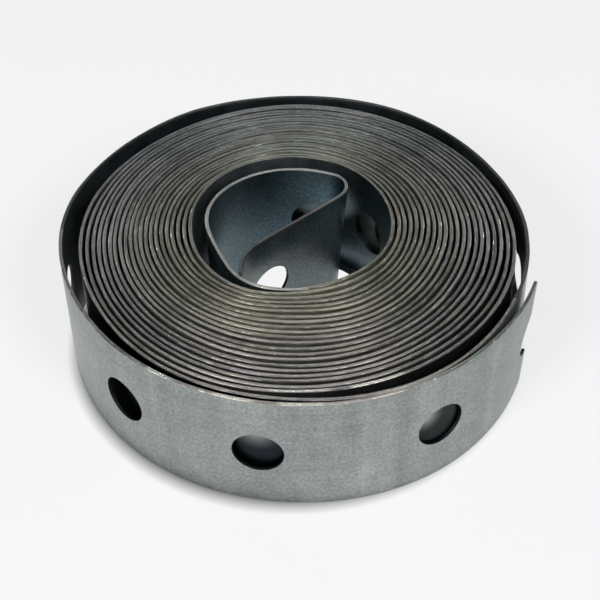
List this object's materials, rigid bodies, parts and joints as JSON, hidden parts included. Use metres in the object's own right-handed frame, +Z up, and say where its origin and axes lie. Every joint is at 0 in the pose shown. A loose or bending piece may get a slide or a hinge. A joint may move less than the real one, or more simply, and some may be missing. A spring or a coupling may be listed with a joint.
{
  "type": "perforated band iron coil",
  "caption": "Loose coil of thin galvanised steel strip punched with round holes along its middle, used as pipe hanger and strapping, lying flat with its outer end sprung free.",
  "frame": {"origin": "centre of the bounding box in plan, at the level the coil rests on", "axes": "+Z up, along the coil's axis and across the strip; -Y is the front of the coil, where the free outer end runs off to the right (+X)"},
  "size_m": [0.063, 0.0612, 0.0191],
  "materials": {
    "galvanised": "satin zinc-coated sheet with bare sheared edges"
  },
  "bodies": {
    "root": {"strip": "galvanised"}
  },
  "joints": []
}
